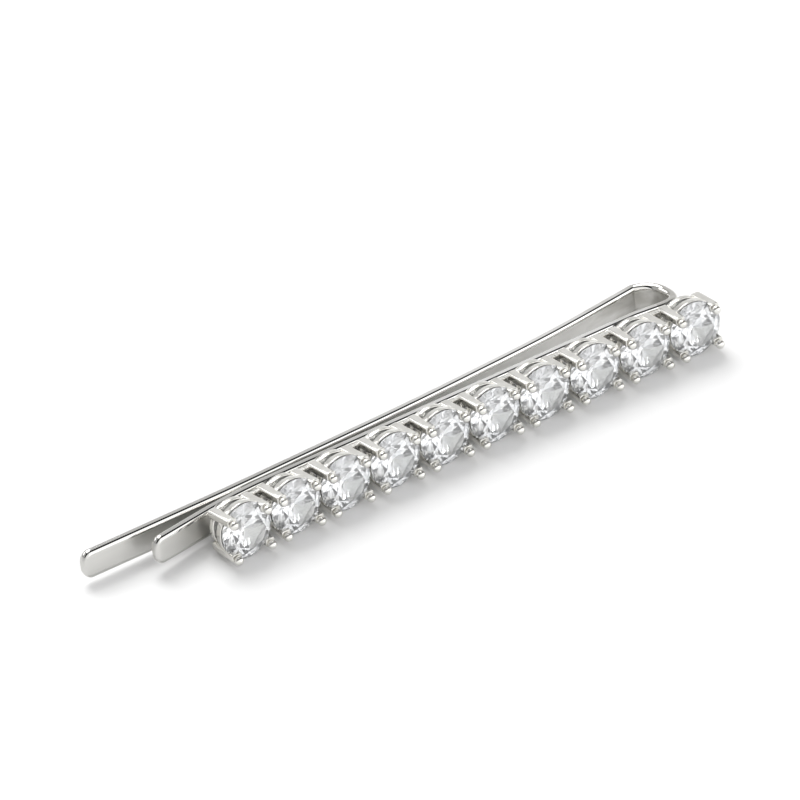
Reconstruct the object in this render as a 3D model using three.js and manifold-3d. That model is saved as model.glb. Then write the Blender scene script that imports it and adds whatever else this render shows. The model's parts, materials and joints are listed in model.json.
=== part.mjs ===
// Rhinestone hair clip: a sprung flat-wire hair pin with a row of claw-set round stones
// soldered along its front leg. Units are millimetres and +Z is up.
//
// Everything is built in the clip's own frame and then leaned back to rest on a table.
// In the clip's frame X runs along the pin from its open tips (-X) to its loop (+X),
// Y is the depth behind the stones, which face -Y, and Z runs across the strip's width.
import * as THREE from 'three';
import { mergeVertices } from 'three/addons/utils/BufferGeometryUtils.js';
import { ConvexGeometry } from 'three/addons/geometries/ConvexGeometry.js';
import Module from 'manifold-3d';

// ---- stones and their row ----
const STONE_COUNT = 10;
const STONE_PITCH = 5.1;
const STONE_RADIUS = 2.47;
const TABLE_RADIUS = 1.4;
const CROWN_HEIGHT = 0.78;
const PAVILION_DEPTH = 2.1;
const GIRDLE_HALF = 0.05;
const STONE_SIDES = 16;
// how far the middle of the row sits behind its two ends
const ROW_SAGITTA = 0.5;

// ---- flat wire of the pin ----
const STRIP_WIDTH = 2.6;
const STRIP_THICKNESS = 0.86;
const TIP_ROUNDING = 0.95;
// the front leg's centre line: corner points [x, depth] and the bend radius at each
const FRONT_LEG = [[-30.55, 2.5], [-21.5, 4.06], [19.6, 4.12], [21.8, 3.84]];
const FRONT_BENDS = [0, 40, 5, 0];
// the back leg's centre line, from its tip to the start of the loop
const BACK_LEG = [[-36.1, 4.96], [-21, 5.04], [-2, 5.62], [13, 6.68], [21.9, 8.0]];
const BACK_BENDS = [0, 150, 250, 120, 0];
// the loop's centre line, from the front leg's end round to the back leg's end
const LOOP = [[21.85, 3.834], [22.3, 3.77], [24.05, 3.74], [24.05, 7.38], [22.2, 8.045], [21.95, 8.007]];
const LOOP_BENDS = [0, 2, 1.5, 2.54, 0.6, 0];
const SPLIT_GAP = 0.05;

// ---- claw settings ----
const GALLERY_OUTER = 2.5;
const GALLERY_DEPTHS = [0.28, 0.98];
const BASE_RING_OUTER = 2.16;
const BASE_RING_INNER = 1.3;
const BASE_DEPTHS = [1.75, 2.3];
const RING_SIDES = 12;
const FOOT_RADIUS = 1.12;
const CLAW_WIDTH = 0.92;
const CLAW_THICKNESS = 0.78;
const CLAW_ROOT = [1.66, 1.52, 2.28];
const CLAW_TOP = [1.72, 1.66, -0.8];
const CLAW_BALL = 0.44;
const SEAT_CLEARANCE = 0.05;
const FOOT_GAP = 0.06;

const wasm = await Module();
wasm.setup();

// ---- materials ----
function platedMetal(name) {
  const metal = new THREE.MeshStandardMaterial({ color: 0xc9c8c4, roughness: 0.16, metalness: 1 });
  metal.name = name;
  return metal;
}

function clearStone() {
  const stone = new THREE.MeshStandardMaterial({ color: 0xf3f6fb, roughness: 0.02, metalness: 0 });
  stone.name = 'clear_stone';
  return stone;
}

const stripMetal = platedMetal('plated_strip');
const settingMetal = platedMetal('plated_setting');
const stoneMaterial = clearStone();

// ---- solids ----
function toSolid(geometry) {
  const bare = geometry.clone();
  bare.deleteAttribute('normal');
  bare.deleteAttribute('uv');
  const merged = mergeVertices(bare, 1e-5);
  return new wasm.Manifold(new wasm.Mesh({
    numProp: 3,
    vertProperties: new Float32Array(merged.attributes.position.array),
    triVerts: new Uint32Array(merged.index.array),
  }));
}

function toGeometry(solid) {
  const mesh = solid.getMesh();
  const geometry = new THREE.BufferGeometry();
  geometry.setAttribute('position', new THREE.BufferAttribute(mesh.vertProperties, 3));
  geometry.setIndex(new THREE.BufferAttribute(mesh.triVerts, 1));
  geometry.computeVertexNormals();
  return geometry;
}

function namedMesh(name, geometry, material) {
  const mesh = new THREE.Mesh(geometry, material);
  mesh.name = name;
  return mesh;
}

// ---- flat wire ----

// A centre line through corner points, each corner rounded with its own bend radius.
function wirePath(corners, radii) {
  const points = corners.map(([x, depth]) => new THREE.Vector3(x, depth, 0));
  const path = new THREE.CurvePath();
  let start = points[0];
  for (let i = 1; i < points.length - 1; i += 1) {
    const back = points[i - 1].clone().sub(points[i]).normalize();
    const ahead = points[i + 1].clone().sub(points[i]).normalize();
    const half = back.angleTo(ahead) / 2;
    const reach = radii[i] / Math.tan(half);
    const arcStart = points[i].clone().addScaledVector(back, reach);
    const arcEnd = points[i].clone().addScaledVector(ahead, reach);
    path.add(new THREE.LineCurve3(start, arcStart));
    path.add(new THREE.QuadraticBezierCurve3(arcStart, points[i], arcEnd));
    start = arcEnd;
  }
  path.add(new THREE.LineCurve3(start, points[points.length - 1]));
  return path;
}

// The wire's cross-section: flat faces front and back, full-round edges.
function wireSection() {
  const r = STRIP_THICKNESS / 2;
  const flat = STRIP_WIDTH / 2 - r;
  const section = new THREE.Shape();
  section.moveTo(-flat, -r);
  section.lineTo(flat, -r);
  section.absarc(flat, 0, r, -Math.PI / 2, Math.PI / 2, false);
  section.lineTo(-flat, r);
  section.absarc(-flat, 0, r, Math.PI / 2, Math.PI * 1.5, false);
  return section;
}

// Samples a path at its joints and inside its bends only, so that straight runs stay one flat face.
class BentWire extends THREE.Curve {
  constructor(path, bendSteps) {
    super();
    this.knots = [];
    path.curves.forEach((piece) => {
      const steps = piece.isLineCurve3 ? 1 : bendSteps;
      for (let i = 0; i < steps; i += 1) this.knots.push(piece.getPoint(i / steps));
    });
    this.knots.push(path.curves[path.curves.length - 1].getPoint(1));
  }

  get steps() {
    return this.knots.length - 1;
  }

  getPoint(t) {
    const place = t * this.steps;
    const i = Math.min(Math.floor(place), this.steps - 1);
    return this.knots[i].clone().lerp(this.knots[i + 1], place - i);
  }

  getPointAt(t) {
    return this.getPoint(t);
  }

  getTangentAt(t) {
    const i = Math.round(t * this.steps);
    const before = this.knots[Math.max(i - 1, 0)];
    const after = this.knots[Math.min(i + 1, this.steps)];
    const tangent = new THREE.Vector3();
    if (i > 0) tangent.add(this.knots[i].clone().sub(before).normalize());
    if (i < this.steps) tangent.add(after.clone().sub(this.knots[i]).normalize());
    return tangent.normalize();
  }
}

function bentStrip(wire) {
  return new THREE.ExtrudeGeometry(wireSection(), {
    steps: wire.steps, extrudePath: wire, curveSegments: 4,
  });
}

// The outline that trims a leg's tip: a blunt round nose across the strip's width.
function tipOutline(tipX, endX) {
  const half = STRIP_WIDTH / 2;
  const clear = half + 0.4;
  const noseX = tipX + TIP_ROUNDING;
  const outline = new THREE.Shape();
  outline.moveTo(endX, -clear);
  outline.lineTo(noseX, -clear);
  outline.lineTo(noseX, -half);
  outline.absellipse(noseX, 0, TIP_ROUNDING, half, -Math.PI / 2, Math.PI / 2, true);
  outline.lineTo(noseX, clear);
  outline.lineTo(endX, clear);
  return outline;
}

function tipCutter(tipX, endX) {
  const cutter = new THREE.ExtrudeGeometry(tipOutline(tipX, endX), {
    depth: 20, bevelEnabled: false, curveSegments: 10,
  });
  cutter.rotateX(Math.PI / 2);
  cutter.translate(0, 15, 0);
  return cutter;
}

function leg(name, corners, radii) {
  const wire = new BentWire(wirePath(corners, radii), 5);
  const tipX = corners[0][0];
  const endX = corners[corners.length - 1][0] + 1;
  const strip = toSolid(bentStrip(wire)).intersect(toSolid(tipCutter(tipX, endX)));
  return namedMesh(name, toGeometry(strip), stripMetal);
}

// The loop springs from the front leg's end round to the back leg's end.
function springBend() {
  const wire = new BentWire(wirePath(LOOP, LOOP_BENDS), 7);
  return namedMesh('spring_bend', toGeometry(toSolid(bentStrip(wire))), stripMetal);
}

// ---- stones ----

// Points of a round brilliant: table, star and kite corners, a scalloped girdle and a culet.
function brilliantPoints() {
  const points = [];
  const ring = (radius, depth, count, turn) => {
    for (let i = 0; i < count; i += 1) {
      const angle = ((i + turn) / count) * Math.PI * 2;
      points.push(new THREE.Vector3(radius * Math.cos(angle), depth, radius * Math.sin(angle)));
    }
  };
  ring(TABLE_RADIUS, -CROWN_HEIGHT, 8, 0);
  ring(STONE_RADIUS * 0.79, -CROWN_HEIGHT * 0.56, 8, 0.5);
  ring(STONE_RADIUS, -GIRDLE_HALF, STONE_SIDES, 0);
  ring(STONE_RADIUS, GIRDLE_HALF, STONE_SIDES, 0);
  ring(STONE_RADIUS * 0.26, PAVILION_DEPTH * 0.79, 8, 0.5);
  points.push(new THREE.Vector3(0, PAVILION_DEPTH, 0));
  return points;
}

function stone(name) {
  return namedMesh(name, toGeometry(toSolid(new ConvexGeometry(brilliantPoints()))), stoneMaterial);
}

// ---- claw settings, each centred on its stone's girdle ----

// A closed profile of [radius, depth] corners turned about the stone's axis.
function turned(profile, sides) {
  const points = [...profile, profile[0]].map(([radius, depth]) => new THREE.Vector2(radius, depth));
  return new THREE.LatheGeometry(points, sides);
}

function galleryRing() {
  const [top, bottom] = GALLERY_DEPTHS;
  return turned([
    [GALLERY_OUTER, top],
    [GALLERY_OUTER - 0.1, bottom],
    [GALLERY_OUTER - 0.6, bottom],
    [GALLERY_OUTER - 0.15, top],
  ], RING_SIDES);
}

function baseRing() {
  const [top, bottom] = BASE_DEPTHS;
  return turned([
    [BASE_RING_OUTER, top],
    [BASE_RING_OUTER - 0.1, bottom],
    [BASE_RING_INNER, bottom],
    [BASE_RING_INNER, top],
  ], RING_SIDES);
}

// The foot narrows from the base ring to the strip that it is soldered to.
function foot(length) {
  const top = BASE_DEPTHS[1] - 0.12;
  return turned([[0, top], [BASE_RING_INNER + 0.35, top], [FOOT_RADIUS, length], [0, length]], RING_SIDES);
}

// A claw's section is a rectangle with its corners cut off; across is along the row.
function clawSection() {
  const across = CLAW_WIDTH / 2;
  const deep = CLAW_THICKNESS / 2;
  const cut = 0.2;
  const section = new THREE.Shape();
  section.moveTo(-deep, -across + cut);
  section.lineTo(-deep + cut, -across);
  section.lineTo(deep - cut, -across);
  section.lineTo(deep, -across + cut);
  section.lineTo(deep, across - cut);
  section.lineTo(deep - cut, across);
  section.lineTo(-deep + cut, across);
  section.lineTo(-deep, across - cut);
  return section;
}

function claw(sideX, sideZ) {
  const root = new THREE.Vector3(sideX * CLAW_ROOT[0], CLAW_ROOT[2], sideZ * CLAW_ROOT[1]);
  const top = new THREE.Vector3(sideX * CLAW_TOP[0], CLAW_TOP[2], sideZ * CLAW_TOP[1]);
  const rod = new THREE.ExtrudeGeometry(clawSection(), {
    steps: 1, extrudePath: new THREE.LineCurve3(root, top),
  });
  const ball = new THREE.SphereGeometry(CLAW_BALL, 6, 4);
  ball.translate(top.x, top.y, top.z);
  return toSolid(rod).add(toSolid(ball)).subtract(toSolid(seat()));
}

// A side rail that links a setting to its neighbours along the row.
function sideRail(fromX, toX, sideZ) {
  const rail = new THREE.BoxGeometry(toX - fromX, 0.42, 0.5);
  rail.translate((fromX + toX) / 2, BASE_DEPTHS[1] - 0.24, sideZ * CLAW_ROOT[1]);
  return rail;
}

// The seat is the stone's own outline, grown by the clearance.
function seat() {
  const rim = STONE_RADIUS + SEAT_CLEARANCE;
  return turned([
    [0, -CROWN_HEIGHT - SEAT_CLEARANCE],
    [TABLE_RADIUS + SEAT_CLEARANCE, -CROWN_HEIGHT - SEAT_CLEARANCE],
    [rim, -GIRDLE_HALF - SEAT_CLEARANCE],
    [rim, GIRDLE_HALF + SEAT_CLEARANCE],
    [0, PAVILION_DEPTH + SEAT_CLEARANCE],
  ], STONE_SIDES);
}

function setting(name, footLength, isFirst, isLast) {
  const linkEnd = STONE_PITCH / 2 - SPLIT_GAP;
  const fromX = isFirst ? -CLAW_ROOT[0] : -linkEnd;
  const toX = isLast ? CLAW_ROOT[0] : linkEnd;
  let body = toSolid(galleryRing()).add(toSolid(baseRing())).add(toSolid(foot(footLength)));
  [-1, 1].forEach((sideZ) => {
    body = body.add(toSolid(sideRail(fromX, toX, sideZ)));
    [-1, 1].forEach((sideX) => {
      body = body.add(claw(sideX, sideZ));
    });
  });
  return namedMesh(name, toGeometry(body), settingMetal);
}

// ---- the row ----

// Depth of the row's arc at x, and the lean of a setting standing on it.
const ROW_HALF = ((STONE_COUNT - 1) / 2) * STONE_PITCH;
const ROW_RADIUS = (ROW_HALF ** 2 + ROW_SAGITTA ** 2) / (2 * ROW_SAGITTA);

function rowDepth(x) {
  return Math.sqrt(ROW_RADIUS ** 2 - x ** 2) - (ROW_RADIUS - ROW_SAGITTA);
}

function rowAngle(x) {
  return -Math.asin(x / ROW_RADIUS);
}

// Depth of the front leg's outer face at x, taken from its centre line.
function frontFaceDepth(x) {
  const knots = new BentWire(wirePath(FRONT_LEG, FRONT_BENDS), 5).knots;
  const last = knots.length - 1;
  const next = Math.min(knots.findIndex((knot, i) => knot.x > x || i === last), last);
  const a = knots[next - 1];
  const b = knots[next];
  return a.y + ((b.y - a.y) * (x - a.x)) / (b.x - a.x) - STRIP_THICKNESS / 2;
}

// The shortest stand-off under a foot, so that a foot on a curved leg never digs in.
function footLengthAt(x) {
  const depths = [-FOOT_RADIUS, 0, FOOT_RADIUS].map((step) => frontFaceDepth(x + step));
  return Math.min(...depths) - rowDepth(x) - FOOT_GAP;
}

function stoneRow() {
  const row = new THREE.Group();
  for (let i = 0; i < STONE_COUNT; i += 1) {
    const x = i * STONE_PITCH - ROW_HALF;
    const number = String(i + 1).padStart(2, '0');
    const place = new THREE.Group();
    place.position.set(x, rowDepth(x), 0);
    place.rotation.z = rowAngle(x);
    place.add(setting(`setting_${number}`, footLengthAt(x), i === 0, i === STONE_COUNT - 1));
    place.add(stone(`stone_${number}`));
    row.add(place);
  }
  return row;
}

// ---- resting lean ----

// The clip lies on its gallery rings' lower edges and on the strip's lower edge at the loop.
// The lean is the angle at which both reach the table at once.
const ringReach = GALLERY_OUTER - 0.1;
const ringDepth = ROW_SAGITTA + GALLERY_DEPTHS[1];
const flatHalf = STRIP_WIDTH / 2 - STRIP_THICKNESS / 2;
const loopDepth = BACK_LEG[BACK_LEG.length - 1][1];
const rise = ringReach - flatHalf;
const run = loopDepth - ringDepth;
const LEAN = Math.acos(STRIP_THICKNESS / 2 / Math.hypot(rise, run)) - Math.atan2(run, rise);

const clip = new THREE.Group();
clip.add(leg('front_leg', FRONT_LEG, FRONT_BENDS));
clip.add(leg('back_leg', BACK_LEG, BACK_BENDS));
clip.add(springBend());
clip.add(stoneRow());
clip.rotation.x = -LEAN;

// The origin is the middle of the footprint, on the table.
const part = new THREE.Group();
part.add(clip);
part.updateMatrixWorld(true);
const extent = new THREE.Box3().setFromObject(clip, true);
const middle = extent.getCenter(new THREE.Vector3());
clip.position.set(-middle.x, -middle.y, -extent.min.z);

export default part;
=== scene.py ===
# A sprung flat-wire hair clip with a row of claw-set brilliant-cut stones.
# Shapes are made in the clip's own frame, in millimetres: x along the pin, y the depth behind
# the stones, z across the strip's width. CLIP leans that frame back and stands it on the floor.
import json
import math

import bmesh
import bpy
from mathutils import Matrix, Vector


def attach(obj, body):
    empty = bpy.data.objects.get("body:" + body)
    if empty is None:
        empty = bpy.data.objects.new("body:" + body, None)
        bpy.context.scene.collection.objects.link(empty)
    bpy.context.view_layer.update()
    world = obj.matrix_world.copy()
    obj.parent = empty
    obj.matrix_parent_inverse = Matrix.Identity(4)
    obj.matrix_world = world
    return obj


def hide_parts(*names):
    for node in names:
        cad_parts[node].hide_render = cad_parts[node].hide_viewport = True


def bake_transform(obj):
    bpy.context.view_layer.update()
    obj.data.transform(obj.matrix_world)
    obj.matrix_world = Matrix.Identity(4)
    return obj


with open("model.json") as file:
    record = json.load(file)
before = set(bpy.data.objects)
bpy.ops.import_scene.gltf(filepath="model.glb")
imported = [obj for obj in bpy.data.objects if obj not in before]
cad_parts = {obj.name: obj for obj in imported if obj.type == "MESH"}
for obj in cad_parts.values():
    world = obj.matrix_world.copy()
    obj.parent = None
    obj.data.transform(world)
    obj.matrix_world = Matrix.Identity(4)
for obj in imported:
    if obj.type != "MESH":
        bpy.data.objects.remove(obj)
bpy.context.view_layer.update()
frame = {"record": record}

# ---- the clip's frame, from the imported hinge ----
MM_PER_M = 1000
HINGE = next(j for j in frame["record"]["behaviour"]["joints"] if j["name"] == "leg_spread")
HINGE_IN_CLIP = Vector((22.6, 5.9, 0))
LEAN = math.atan2(-HINGE["axis"][1], -HINGE["axis"][2])
TILT = Matrix.Rotation(-LEAN, 4, "X")
ORIGIN = Vector(HINGE["pos_m"]) - TILT @ (HINGE_IN_CLIP / MM_PER_M)
CLIP = Matrix.Translation(ORIGIN) @ TILT @ Matrix.Scale(1 / MM_PER_M, 4)
ACROSS = TILT.to_3x3() @ Vector((0, 0, 1))

# ---- the row: its middle lies ROW_SAGITTA behind its ends ----
STONES = 10
PITCH = 5.1
ROW_SAGITTA = 0.5
ROW_HALF = (STONES - 1) / 2 * PITCH
ROW_RADIUS = (ROW_HALF ** 2 + ROW_SAGITTA ** 2) / (2 * ROW_SAGITTA)

# ---- the strip: centre lines as (x, depth) corners, each eased by a bend radius ----
STRIP_W = 2.6
STRIP_T = 0.86
FACE_HALF = STRIP_W / 2 - STRIP_T / 2
FRONT_LEG = [(-30.55, 2.5), (-21.5, 4.06), (19.6, 4.12), (21.8, 3.84)]
FRONT_BENDS = [0, 40, 5, 0]
BACK_LEG = [(-36.1, 4.96), (-21, 5.04), (-2, 5.62), (13, 6.68), (21.9, 8.0)]
BACK_BENDS = [0, 150, 250, 120, 0]
LOOP = [(21.8, 3.84), (22.3, 3.77), (24.05, 3.74), (24.05, 7.38), (22.2, 8.045), (21.9, 8.0)]
LOOP_BENDS = [0, 2, 1.5, 2.54, 0.6, 0]


# ---- meshes ----
def mark_edges(bm, smooth_below):
    """Edges flatter than this many degrees shade smooth, the others stay sharp."""
    limit = math.radians(smooth_below)
    for face in bm.faces:
        face.smooth = smooth_below > 0
    for edge in bm.edges:
        edge.smooth = len(edge.link_faces) == 2 and edge.calc_face_angle(0) < limit


def new_object(name, bm, material=None, smooth_below=40):
    bmesh.ops.recalc_face_normals(bm, faces=bm.faces)
    mark_edges(bm, smooth_below)
    mesh = bpy.data.meshes.new(name)
    bm.to_mesh(mesh)
    bm.free()
    obj = bpy.data.objects.new(name, mesh)
    bpy.context.scene.collection.objects.link(obj)
    if material:
        mesh.materials.append(material)
    return obj


def loft(bm, rings):
    """A closed body through rings of the same number of points, capped at both ends."""
    rows = [[bm.verts.new(point) for point in ring] for ring in rings]
    count = len(rings[0])
    for a, b in zip(rows, rows[1:]):
        for i in range(count):
            j = (i + 1) % count
            bm.faces.new((a[i], a[j], b[j], b[i]))
    bm.faces.new(list(reversed(rows[0])))
    bm.faces.new(rows[-1])
    bmesh.ops.remove_doubles(bm, verts=bm.verts, dist=1e-5)
    bmesh.ops.dissolve_degenerate(bm, edges=bm.edges, dist=1e-6)


def turned(profile, sides):
    """A closed (radius, depth) profile turned about the stone's axis."""
    bm = bmesh.new()
    rows = []
    for i in range(sides):
        a = 2 * math.pi * i / sides
        rows.append([bm.verts.new((r * math.cos(a), depth, r * math.sin(a))) for r, depth in profile])
    count = len(profile)
    for i in range(sides):
        a, b = rows[i], rows[(i + 1) % sides]
        for k in range(count):
            m = (k + 1) % count
            bm.faces.new((a[k], a[m], b[m], b[k]))
    bmesh.ops.remove_doubles(bm, verts=bm.verts, dist=1e-6)
    bmesh.ops.dissolve_degenerate(bm, edges=bm.edges, dist=1e-7)
    return bm


def rectangle(half_w, half_h):
    return [(-half_w, -half_h), (half_w, -half_h), (half_w, half_h), (-half_w, half_h)]


def rounded(corners, radius, steps):
    """A 2D polygon with every corner turned into an arc of up to this radius."""
    points = []
    count = len(corners)
    for i in range(count):
        corner = Vector(corners[i])
        before = Vector(corners[i - 1]) - corner
        after = Vector(corners[(i + 1) % count]) - corner
        half = before.angle(after) / 2
        reach = min(radius / math.tan(half), before.length * 0.49, after.length * 0.49)
        r = reach * math.tan(half)
        before.normalize()
        after.normalize()
        centre = corner + (before + after).normalized() * (r / math.sin(half))
        start = corner + before * reach - centre
        end = corner + after * reach - centre
        for k in range(steps + 1):
            t = k / steps
            points.append(centre + (start * (1 - t) + end * t).normalized() * r)
    return points


def combine(base, other, operation="UNION"):
    """Object base with object other joined to it or cut from it; other is used up."""
    modifier = base.modifiers.new("join", "BOOLEAN")
    modifier.operation = operation
    modifier.solver = "MANIFOLD"
    modifier.object = other
    graph = bpy.context.evaluated_depsgraph_get()
    mesh = bpy.data.meshes.new_from_object(base.evaluated_get(graph))
    base.modifiers.clear()
    old = base.data
    base.data = mesh
    bpy.data.meshes.remove(old)
    bpy.data.objects.remove(other)
    return base


def clear_slivers(obj, smooth_below=32):
    """Merges the slivers that a boolean leaves and marks the edges that stay sharp."""
    bm = bmesh.new()
    bm.from_mesh(obj.data)
    bmesh.ops.remove_doubles(bm, verts=bm.verts, dist=2e-4)
    bmesh.ops.dissolve_degenerate(bm, edges=bm.edges, dist=1e-4)
    mark_edges(bm, smooth_below)
    bm.to_mesh(obj.data)
    bm.free()


# ---- shader nodes ----
IN_METRES = (1, 1, 1)
IN_MM = (MM_PER_M, MM_PER_M, MM_PER_M)
DRAWN_OUT = (0.3 * MM_PER_M, MM_PER_M, MM_PER_M)
WAVE_DEPTH = 0.00002


def grey(value):
    return (value, value, value, 1)


def new_material(name, metallic):
    material = bpy.data.materials.new(name)
    material.use_nodes = True
    tree = material.node_tree
    shader = tree.nodes["Principled BSDF"]
    shader.inputs["Metallic"].default_value = metallic
    return material, tree, shader


def math_node(tree, operation, *operands):
    """A math node; each operand is a socket or a number."""
    n = tree.nodes.new("ShaderNodeMath")
    n.operation = operation
    for socket, operand in zip(n.inputs, operands):
        if isinstance(operand, (int, float)):
            socket.default_value = operand
        else:
            tree.links.new(operand, socket)
    return n.outputs[0]


def coordinates(tree, scale, piece_step=0):
    """Object coordinates times a scale, moved on by a random part of piece_step for each piece."""
    where = tree.nodes.new("ShaderNodeTexCoord")
    place = tree.nodes.new("ShaderNodeMapping")
    place.inputs["Scale"].default_value = scale
    tree.links.new(where.outputs["Object"], place.inputs["Vector"])
    if piece_step:
        info = tree.nodes.new("ShaderNodeObjectInfo")
        step = math_node(tree, "MULTIPLY", info.outputs["Random"], piece_step)
        tree.links.new(step, place.inputs["Location"])
    return place.outputs["Vector"]


def component(tree, vector, axis):
    split = tree.nodes.new("ShaderNodeSeparateXYZ")
    tree.links.new(vector, split.inputs["Vector"])
    return split.outputs[axis]


def noise_of(tree, vector, scale, detail):
    n = tree.nodes.new("ShaderNodeTexNoise")
    n.inputs["Scale"].default_value = scale
    n.inputs["Detail"].default_value = detail
    tree.links.new(vector, n.inputs["Vector"])
    return n.outputs["Fac"]


def ramp(tree, value, stops):
    """A colour ramp read at value; stops are (position, colour), in rising order."""
    n = tree.nodes.new("ShaderNodeValToRGB")
    tree.links.new(value, n.inputs["Fac"])
    elements = n.color_ramp.elements
    while len(elements) < len(stops):
        elements.new(0.5)
    for element, (position, _) in zip(elements, stops):
        element.position = position
    for element, (_, colour) in zip(elements, stops):
        element.color = colour
    return n.outputs["Color"]


def add_waves(tree, shader, where, strength, scale):
    """A shallow unevenness of the plating."""
    bump = tree.nodes.new("ShaderNodeBump")
    bump.inputs["Strength"].default_value = strength
    bump.inputs["Distance"].default_value = WAVE_DEPTH
    tree.links.new(noise_of(tree, where, scale, 2), bump.inputs["Height"])
    tree.links.new(bump.outputs["Normal"], shader.inputs["Normal"])


# ---- materials ----
# painted shade along x, standing in for dimmer reflections: the strip's colour is dull at the legs'
# tips, bright along the legs, dull at the bend
STRIP_PAINTED_SHADE = [
    (0.0, (0.6, 0.595, 0.575, 1)),
    (0.3, (0.9, 0.895, 0.88, 1)),
    (0.5, (0.9, 0.895, 0.88, 1)),
    (0.62, (0.6, 0.59, 0.56, 1)),
]
PAINTED_SHADE_PER_MM = 0.016
TONE_UNEVEN = 0.3
# the strip's roughness by the distance from its middle line, in mm
STRIP_POLISH = [(FACE_HALF + 0.02, grey(0.42)), (FACE_HALF + 0.12, grey(0.05))]
POLISH_UNEVEN = 0.12
SETTING_TONES = [(0.3, (0.70, 0.69, 0.655, 1)), (0.7, (0.78, 0.77, 0.74, 1))]
SETTING_POLISH = [(0.3, grey(0.17)), (0.7, grey(0.26))]
STONE_TINTS = [(0.3, (0.955, 0.975, 1, 1)), (0.7, (0.985, 0.993, 1, 1))]
FLOOR_TONES = [(0.3, grey(0.88)), (0.7, grey(0.9))]


def strip_metal(name):
    """Plated flat wire: satin rolled faces, bright drawn edges, and painted shade along it, darker at
    the tips and the bend, with a little random tone.
    """
    material, tree, shader = new_material(name, 1)
    grain = coordinates(tree, DRAWN_OUT, 50)
    tone = noise_of(tree, grain, 0.9, 3)
    place = coordinates(tree, IN_MM)
    # painted shade: the colour ramp is read at the distance along x, with a little random tone added
    along = math_node(tree, "MULTIPLY", component(tree, place, "X"), PAINTED_SHADE_PER_MM)
    along = math_node(tree, "ADD", along, math_node(tree, "MULTIPLY", tone, TONE_UNEVEN))
    tree.links.new(ramp(tree, along, STRIP_PAINTED_SHADE), shader.inputs["Base Color"])
    upright = tree.nodes.new("ShaderNodeVectorMath")
    upright.operation = "DOT_PRODUCT"
    upright.inputs[1].default_value = ACROSS
    tree.links.new(place, upright.inputs[0])
    middle = MM_PER_M * ORIGIN.dot(ACROSS)
    off_middle = math_node(tree, "SUBTRACT", upright.outputs["Value"], middle)
    off_middle = math_node(tree, "ABSOLUTE", off_middle)
    uneven = math_node(tree, "MULTIPLY", tone, POLISH_UNEVEN)
    polish = math_node(tree, "ADD", off_middle, uneven)
    tree.links.new(ramp(tree, polish, STRIP_POLISH), shader.inputs["Roughness"])
    add_waves(tree, shader, grain, 0.25, 0.8)
    return material


def setting_metal(name):
    """Bright cast plating: a faint change of tone, uneven polish and shallow waves."""
    material, tree, shader = new_material(name, 1)
    where = coordinates(tree, IN_MM, 50)
    tone = noise_of(tree, where, 0.9, 3)
    tree.links.new(ramp(tree, tone, SETTING_TONES), shader.inputs["Base Color"])
    polish = noise_of(tree, where, 3.5, 4)
    tree.links.new(ramp(tree, polish, SETTING_POLISH), shader.inputs["Roughness"])
    add_waves(tree, shader, where, 0.35, 1.6)
    return material


def clear_stone(name):
    """Colourless cut stone, with the faintest change of tint inside."""
    material, tree, shader = new_material(name, 0)
    shader.inputs["Transmission Weight"].default_value = 0.9
    shader.inputs["IOR"].default_value = 2.0
    shader.inputs["Roughness"].default_value = 0
    tint = noise_of(tree, coordinates(tree, IN_MM, 30), 0.5, 1)
    tree.links.new(ramp(tree, tint, STONE_TINTS), shader.inputs["Base Color"])
    return material


def pale_floor(name):
    material, tree, shader = new_material(name, 0)
    shader.inputs["Roughness"].default_value = 0.9
    shader.inputs["Specular IOR Level"].default_value = 0.1
    tone = noise_of(tree, coordinates(tree, IN_METRES), 3, 2)
    tree.links.new(ramp(tree, tone, FLOOR_TONES), shader.inputs["Base Color"])
    return material


STRIP_METAL = strip_metal("plated_strip")
SETTING_METAL = setting_metal("plated_setting")
STONE = clear_stone("clear_stone")

# ---- flat wire ----
STRAIGHT_STEP = 1.4
BEND_STEP = math.radians(3)
BEND_STEPS_MIN = 6
EDGE_STEPS = 14
# a leg's nose narrows over NOSE and thins over NOSE_THIN, down to a blunt tip
NOSE = 0.95
NOSE_CURVE = 2.3
NOSE_THIN = 0.42
NOSE_RUN = NOSE + 0.25
NOSE_STEPS = 25
TIP_HALF_W = 0.02
TIP_HALF_T = 0.01


def straight_part(start, end):
    count = max(1, round((end - start).length / STRAIGHT_STEP))
    return [(start.lerp(end, k / count), (end - start).normalized()) for k in range(count)]


def bent_part(start, corner, end):
    """A bend that leaves start and meets end in the directions of the corner."""
    count = max(BEND_STEPS_MIN, round((corner - start).angle(end - corner) / BEND_STEP))
    points = []
    for k in range(count):
        t = k / count
        point = start.lerp(corner, t).lerp(corner.lerp(end, t), t)
        points.append((point, ((corner - start) * (1 - t) + (end - corner) * t).normalized()))
    return points


def centre_line(corners, radii):
    """Points and directions along a line through corners, each corner eased by its radius."""
    points = [Vector(corner) for corner in corners]
    line = []
    start = points[0]
    for before, corner, after, radius in zip(points, points[1:], points[2:], radii[1:]):
        to_before = (before - corner).normalized()
        to_after = (after - corner).normalized()
        reach = radius / math.tan(to_before.angle(to_after) / 2)
        bend_start = corner + to_before * reach
        bend_end = corner + to_after * reach
        line += straight_part(start, bend_start)
        line += bent_part(bend_start, corner, bend_end)
        start = bend_end
    line += straight_part(start, points[-1])
    line.append((points[-1], (points[-1] - start).normalized()))
    return line


def with_nose(line):
    """Stations crowded towards the tip along the nose, then the line's own points."""
    tip, direction = line[0]
    stations = []
    for k in range(NOSE_STEPS + 1):
        from_tip = NOSE_RUN * (1 - math.cos(math.pi / 2 * k / NOSE_STEPS))
        stations.append((tip + direction * from_tip, direction, from_tip))
    for point, direction in line:
        from_tip = (point - tip).length
        if from_tip > NOSE_RUN + 0.05:
            stations.append((point, direction, from_tip))
    return stations


def without_nose(line):
    return [(point, direction, math.inf) for point, direction in line]


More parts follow.
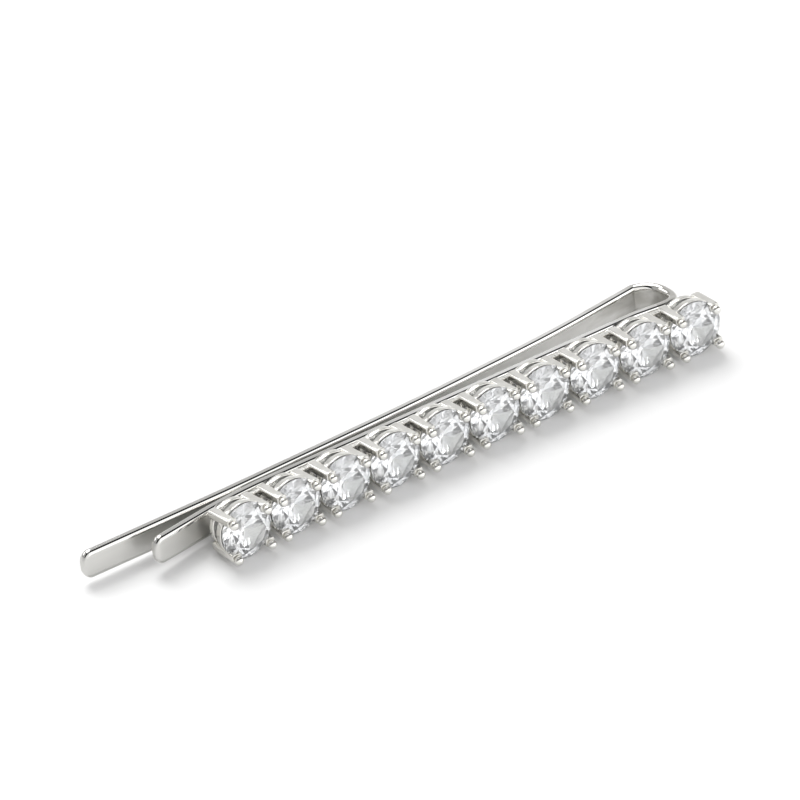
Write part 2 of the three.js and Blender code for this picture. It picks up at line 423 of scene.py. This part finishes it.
def half_size(from_tip):
    """Half the strip's width and half its thickness at a distance from its tip."""
    half_w = STRIP_W / 2 * math.sqrt(1 - max(1 - from_tip / NOSE, 0) ** NOSE_CURVE)
    half_t = STRIP_T / 2 * math.sqrt(1 - max(1 - from_tip / NOSE_THIN, 0) ** 2)
    half_w = max(half_w, TIP_HALF_W)
    return half_w, min(max(half_t, TIP_HALF_T), half_w)


def wire_section(half_w, half_t):
    """Flat front and back faces with full-round edges, as (across, deep) points."""
    flat = half_w - half_t
    points = []
    for side, first in ((1, -90), (-1, 90)):
        for k in range(EDGE_STEPS + 1):
            a = math.radians(first + 180 * k / EDGE_STEPS)
            points.append((side * flat + half_t * math.cos(a), half_t * math.sin(a)))
    return points


def strip_piece(name, stations, cad_node):
    rings = []
    for point, direction, from_tip in stations:
        side = Vector((-direction.y, direction.x))
        rings.append([(point.x + side.x * deep, point.y + side.y * deep, across)
                      for across, deep in wire_section(*half_size(from_tip))])
    bm = bmesh.new()
    loft(bm, rings)
    bmesh.ops.transform(bm, matrix=CLIP, verts=bm.verts)
    obj = new_object(name, bm, STRIP_METAL, 50)
    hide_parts(cad_node)
    return obj


FRONT_LINE = centre_line(FRONT_LEG, FRONT_BENDS)
BACK_LINE = centre_line(BACK_LEG, BACK_BENDS)
LOOP_LINE = centre_line(LOOP, LOOP_BENDS)

front = strip_piece("front_leg_strip", with_nose(FRONT_LINE), "front_leg")
back = strip_piece("back_leg_strip", with_nose(BACK_LINE), "back_leg")
loop = strip_piece("loop_strip", without_nose(LOOP_LINE), "spring_bend")
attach(front, "front")
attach(back, "back")
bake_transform(loop)

# ---- stones ----
STONE_R = 2.47
TABLE_R = 1.4
CROWN = 0.78
PAVILION = 2.1
GIRDLE = 0.05
# where the star facets end, from the table's edge to the girdle
STAR_SHARE = 0.52
# where the lower girdle facets end, from the culet to the girdle
LOWER_SHARE = 0.24
BLANK_SIDES = 96
BLANK_SPARE = 0.1
FACETS = 8
FACET_STEP = 360 / FACETS


def round_blank():
    bm = bmesh.new()
    angles = [2 * math.pi * i / BLANK_SIDES for i in range(BLANK_SIDES)]
    top = [bm.verts.new((STONE_R * math.cos(a), -CROWN, STONE_R * math.sin(a))) for a in angles]
    low = [bm.verts.new((v.co.x, PAVILION + BLANK_SPARE, v.co.z)) for v in top]
    bm.faces.new(top)
    bm.faces.new(list(reversed(low)))
    for i in range(BLANK_SIDES):
        j = (i + 1) % BLANK_SIDES
        bm.faces.new((top[j], top[i], low[i], low[j]))
    return bm


def cut_facet(bm, azimuth, inner, outer):
    """Cuts away what lies outside the plane through two (radius, depth) points."""
    a = math.radians(azimuth)
    radial = Vector((math.cos(a), 0, math.sin(a)))
    run = Vector((outer[0] - inner[0], outer[1] - inner[1]))
    side = -1 if outer[1] > inner[1] else 1
    normal = radial * abs(run.y) + Vector((0, side * abs(run.x), 0))
    bmesh.ops.bisect_plane(
        bm, geom=bm.verts[:] + bm.edges[:] + bm.faces[:], dist=1e-6,
        plane_co=radial * inner[0] + Vector((0, inner[1], 0)),
        plane_no=normal.normalized(), clear_outer=True)
    rim = [e for e in bm.edges if len(e.link_faces) == 1]
    if rim:
        bmesh.ops.contextual_create(bm, geom=rim)


def brilliant():
    """A round brilliant cut from a round blank, one flat facet at a time."""
    bm = round_blank()
    half_cos = math.cos(math.radians(FACET_STEP / 2))
    quarter_cos = math.cos(math.radians(FACET_STEP / 2) / 2)
    table_r = TABLE_R * half_cos
    star_r = table_r + STAR_SHARE * (STONE_R - table_r)
    crown_slope = (CROWN - GIRDLE) / (STONE_R - TABLE_R)
    star_depth = -CROWN + (star_r * half_cos - TABLE_R) * crown_slope
    culet_slope = (PAVILION - GIRDLE) / STONE_R
    lower_r = LOWER_SHARE * STONE_R
    lower_depth = PAVILION - lower_r * half_cos * culet_slope
    for k in range(FACETS):
        cut_facet(bm, FACET_STEP * k, (TABLE_R, -CROWN), (STONE_R, -GIRDLE))
        cut_facet(bm, FACET_STEP * k, (0, PAVILION), (STONE_R, GIRDLE))
    for k in range(FACETS):
        cut_facet(bm, FACET_STEP * (k + 0.5), (table_r, -CROWN), (star_r, star_depth))
    for k in range(2 * FACETS):
        azimuth = FACET_STEP / 2 * (k + 0.5)
        rim = STONE_R * quarter_cos
        cut_facet(bm, azimuth, (star_r * quarter_cos, star_depth), (rim, -GIRDLE))
        cut_facet(bm, azimuth, (lower_r * quarter_cos, lower_depth), (rim, GIRDLE))
    bmesh.ops.remove_doubles(bm, verts=bm.verts, dist=1e-5)
    return bm


# ---- settings ----
CLAW_ROOT = Vector((1.66, 2.3, 1.52))
CLAW_TOP = Vector((1.72, -0.8, 1.66))
CLAW_W = 0.92
CLAW_T = 0.78
CLAW_EDGE = 0.24
# the bar stops this far short of the claw's top, inside the rounded tip
CLAW_STOP = 0.14
NUB = (0.4, 0.39, 0.4)
NUB_FORWARD = 0.08
NUB_COLUMNS = 20
NUB_ROWS = 14
# the upper tips are pressed in over the stone, the lower ones stand on its rim
UPPER_NUB = -0.17
LOWER_NUB = 0.18

RING_SIDES = 96
GALLERY_R = 2.5
GALLERY_NEAR = 0.28
GALLERY_FAR = 0.98
GALLERY_TAPER = 0.1
GALLERY_LIP = 0.16
GALLERY_FOOT = 0.6
GALLERY_EDGE = 0.07
BASE_OUT = 2.16
BASE_IN = 1.3
BASE_NEAR = 1.75
BASE_FAR = 2.3
BASE_EDGE = 0.1

RAIL_HALF_DEPTH = 0.21
RAIL_HALF_W = 0.25
RAIL_EDGE = 0.07
RAIL_DEPTH = BASE_FAR - 0.24

FOOT_SIDES = 64
FOOT_STEPS = 8
FOOT_NEAR = BASE_FAR - 0.12
FOOT_SHOULDER = (1.5, 0.12)
FOOT_TOP_R = 1.6
FOOT_R = 1.32
FOOT_NECK = 0.2
FOOT_WAIST = 0.3
FOOT_FLARE = 0.05
FOOT_IN_LEG = 0.05

SEAT_GAP = 0.02
SEAT_FLOOR_GAP = 0.03


def part(bm):
    return new_object("part", bm)


def claw_bar(side_x, side_z):
    """A broad flat claw bar, from the base to just short of its rounded tip."""
    root = Vector((side_x * CLAW_ROOT.x, CLAW_ROOT.y, side_z * CLAW_ROOT.z))
    top = Vector((side_x * CLAW_TOP.x, CLAW_TOP.y, side_z * CLAW_TOP.z))
    along = (top - root).normalized()
    across = Vector((-along.y, along.x, 0)).normalized()
    deep = along.cross(across).normalized()
    length = (top - root).length - CLAW_STOP
    root_rounding = [(0, 0.86), (0.03, 0.93), (0.09, 0.98), (0.16, 1)]
    top_rounding = [(length - 0.12, 0.99), (length - 0.05, 0.97), (length - 0.015, 0.93), (length, 0.88)]
    rings = []
    for distance, grow in root_rounding + [(0.5 * length, 1)] + top_rounding:
        corners = rectangle(CLAW_W / 2 * grow, CLAW_T / 2 * grow)
        rings.append([root + along * distance + across * p[0] + deep * p[1]
                      for p in rounded(corners, CLAW_EDGE * grow, 6)])
    bm = bmesh.new()
    loft(bm, rings)
    return bm


def claw_nub(side_x, side_z):
    """The claw's rounded tip, pressed over the stone's edge."""
    reach = CLAW_TOP.z + (LOWER_NUB if side_z < 0 else UPPER_NUB)
    centre = Vector((side_x * CLAW_TOP.x, CLAW_TOP.y - NUB_FORWARD, side_z * reach))
    place = Matrix.Translation(centre) @ Matrix.Diagonal((*NUB, 1))
    bm = bmesh.new()
    bmesh.ops.create_uvsphere(bm, u_segments=NUB_COLUMNS, v_segments=NUB_ROWS, radius=1)
    bmesh.ops.transform(bm, matrix=place, verts=bm.verts)
    return bm


def rail(from_x, to_x, side_z):
    """A rail along one side of the row, joining a setting's claws to its neighbours'."""
    outline = rounded(rectangle(RAIL_HALF_DEPTH, RAIL_HALF_W), RAIL_EDGE, 3)
    bm = bmesh.new()
    loft(bm, [[(x, RAIL_DEPTH + p[0], side_z * CLAW_ROOT.z + p[1]) for p in outline]
              for x in (from_x, (from_x + to_x) / 2, to_x)])
    return bm


def gallery_ring():
    """The tapered ring just behind the stone's girdle."""
    corners = [(GALLERY_R, GALLERY_NEAR), (GALLERY_R - GALLERY_TAPER, GALLERY_FAR),
               (GALLERY_R - GALLERY_FOOT, GALLERY_FAR), (GALLERY_R - GALLERY_LIP, GALLERY_NEAR)]
    return turned(rounded(corners, GALLERY_EDGE, 4), RING_SIDES)


def base_ring():
    """The plain ring at the claws' roots."""
    corners = [(BASE_OUT, BASE_NEAR), (BASE_OUT, BASE_FAR), (BASE_IN, BASE_FAR), (BASE_IN, BASE_NEAR)]
    return turned(rounded(corners, BASE_EDGE, 4), RING_SIDES)


def foot(far):
    """A tapered foot that flares into a solder fillet where it meets the leg."""
    start = FOOT_NEAR + FOOT_NECK
    profile = [(0, FOOT_NEAR), (FOOT_TOP_R, FOOT_NEAR), (FOOT_SHOULDER[0], FOOT_NEAR + FOOT_SHOULDER[1])]
    for k in range(FOOT_STEPS + 1):
        t = k / FOOT_STEPS
        r = FOOT_R - FOOT_WAIST * math.sin(math.pi * t) + FOOT_FLARE * t
        profile.append((r, start + (far - FOOT_NEAR - FOOT_NECK) * t))
    profile.append((0, far))
    return turned(profile, FOOT_SIDES)


def seat():
    """The room that the stone takes in its setting."""
    rim = STONE_R + SEAT_GAP
    top = -CROWN - SEAT_GAP
    profile = [(0, top), (TABLE_R, top), (rim, -GIRDLE - SEAT_GAP), (rim, GIRDLE + SEAT_GAP),
               (0, PAVILION + SEAT_FLOOR_GAP)]
    return turned(profile, RING_SIDES)


def common_setting():
    """What the ten settings share: both rings and four claws, cut to the stone."""
    body = part(gallery_ring())
    combine(body, part(base_ring()))
    for side_z in (-1, 1):
        for side_x in (-1, 1):
            combine(body, part(claw_bar(side_x, side_z)))
            combine(body, part(claw_nub(side_x, side_z)))
    return combine(body, part(seat()), "DIFFERENCE")


# ---- the row ----
def row_depth(x):
    return math.sqrt(ROW_RADIUS ** 2 - x ** 2) - (ROW_RADIUS - ROW_SAGITTA)


def leg_face(x):
    """Depth of the front leg's stone-side face at x."""
    for (a, _), (b, _) in zip(FRONT_LINE, FRONT_LINE[1:]):
        if a.x <= x <= b.x:
            return a.y + (b.y - a.y) * (x - a.x) / (b.x - a.x) - STRIP_T / 2
    return FRONT_LINE[-1][0].y - STRIP_T / 2


shared = common_setting()
stone_mesh = new_object("cut_stone", brilliant(), STONE, 0).data
for i in range(STONES):
    x = i * PITCH - ROW_HALF
    number = f"{i + 1:02d}"
    turn = Matrix.Rotation(-math.asin(x / ROW_RADIUS), 4, "Z")
    place = CLIP @ Matrix.Translation((x, row_depth(x), 0)) @ turn

    body = bpy.data.objects.new(f"claw_setting_{number}", shared.data.copy())
    bpy.context.scene.collection.objects.link(body)
    combine(body, part(foot(leg_face(x) - row_depth(x) + FOOT_IN_LEG)))
    from_x = -CLAW_ROOT.x if i == 0 else -PITCH / 2
    to_x = CLAW_ROOT.x if i == STONES - 1 else PITCH / 2
    for side_z in (-1, 1):
        combine(body, part(rail(from_x, to_x, side_z)))
    clear_slivers(body)
    body.data.materials.clear()
    body.data.materials.append(SETTING_METAL)
    body.data.transform(place)
    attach(body, "front")
    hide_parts(f"setting_{number}")

    stone = bpy.data.objects.new(f"cut_stone_{number}", stone_mesh.copy())
    bpy.context.scene.collection.objects.link(stone)
    stone.data.transform(place)
    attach(stone, "front")
    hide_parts(f"stone_{number}")
bpy.data.objects.remove(shared)
bpy.data.objects.remove(bpy.data.objects["cut_stone"])

# ---- floor, in metres ----
FLOOR_RADIUS = 3
FLOOR_SIDES = 64

disc = bmesh.new()
bmesh.ops.create_circle(disc, cap_ends=True, segments=FLOOR_SIDES, radius=FLOOR_RADIUS)
floor = new_object("floor", disc, pale_floor("pale_floor"))

# ---- light, in metres and watts ----
LIT_POINT = Vector((0, 0, 0))
# the sky's brightness around the clip's length, by the ray's angle as a share of half a turn:
# 0 is the horizon behind the clip, 0.5 straight up and 1 the horizon in front of it
SKY = [(0.0, 0.8), (0.43, 0.78), (0.465, 0.03), (0.635, 0.03), (0.685, 1.9), (0.98, 1.9), (0.995, 0.9)]
# the same sky is dimmed except towards +x, by the ray's x
SKY_SIDES = [(0.05, 0.7), (0.25, 1)]


def softbox(name, at, size, watts):
    data = bpy.data.lights.new(name, "AREA")
    data.shape = "RECTANGLE"
    data.size, data.size_y = size
    data.energy = watts
    lamp = bpy.data.objects.new(name, data)
    lamp.location = at
    lamp.rotation_euler = (LIT_POINT - Vector(at)).to_track_quat("-Z", "Y").to_euler()
    bpy.context.scene.collection.objects.link(lamp)


def studio_sky():
    world = bpy.data.worlds.new("studio")
    world.use_nodes = True
    tree = world.node_tree
    ray = tree.nodes.new("ShaderNodeTexCoord").outputs["Generated"]
    angle = math_node(tree, "ARCTAN2", component(tree, ray, "Z"), component(tree, ray, "Y"))
    share = math_node(tree, "DIVIDE", angle, math.pi)
    shade = tree.nodes.new("ShaderNodeVectorMath")
    shade.operation = "MULTIPLY"
    sweep = ramp(tree, share, [(at, grey(value)) for at, value in SKY])
    sides = ramp(tree, component(tree, ray, "X"), [(at, grey(value)) for at, value in SKY_SIDES])
    tree.links.new(sweep, shade.inputs[0])
    tree.links.new(sides, shade.inputs[1])
    background = tree.nodes["Background"]
    background.inputs["Strength"].default_value = 1
    tree.links.new(shade.outputs["Vector"], background.inputs["Color"])
    return world


softbox("key", (0.05, 0.35, 0.46), (0.34, 0.34), 2.3)
softbox("overhead", (0.0, 0.08, 0.6), (0.36, 0.36), 0.35)
softbox("low side", (-0.26, 0.48, 0.24), (0.34, 0.16), 0.4)
bpy.context.scene.world = studio_sky()

# ---- camera: directions in the clip's frame, distances in millimetres ----
AZIMUTH = math.radians(-31.63)
ELEVATION = math.radians(29.77)
ROLL = math.radians(-7.17)
CAMERA_DISTANCE = 910.7143
VIEW_WIDTH = 66.51451
AIM_RIGHT = -6.121829
AIM_UP = 2.335491
SENSOR = 36
# in metres
CAMERA_RANGE = (0.01, 20)


def photo_camera():
    """A camera at the photograph's angle, VIEW_WIDTH wide where the clip lies."""
    out = Vector((math.sin(AZIMUTH) * math.cos(ELEVATION),
                  -math.cos(AZIMUTH) * math.cos(ELEVATION),
                  math.sin(ELEVATION)))
    level = Vector((math.cos(AZIMUTH), math.sin(AZIMUTH), 0))
    steep = out.cross(level)
    right = level * math.cos(ROLL) + steep * math.sin(ROLL)
    up = steep * math.cos(ROLL) - level * math.sin(ROLL)
    eye = CLIP @ (out * CAMERA_DISTANCE)
    aim = CLIP @ (right * AIM_RIGHT + up * AIM_UP)
    z_axis = (eye - aim).normalized()
    x_axis = TILT.to_3x3() @ right
    x_axis = (x_axis - z_axis * x_axis.dot(z_axis)).normalized()
    y_axis = z_axis.cross(x_axis)
    data = bpy.data.cameras.new("camera")
    data.sensor_width = SENSOR
    data.lens = SENSOR * CAMERA_DISTANCE / VIEW_WIDTH
    data.clip_start, data.clip_end = CAMERA_RANGE
    camera = bpy.data.objects.new("camera", data)
    axes = Matrix((x_axis, y_axis, z_axis)).transposed().to_4x4()
    camera.matrix_world = Matrix.Translation(eye) @ axes
    bpy.context.scene.collection.objects.link(camera)
    return camera


bpy.context.scene.camera = photo_camera()
bpy.context.scene.view_settings.view_transform = "Standard"
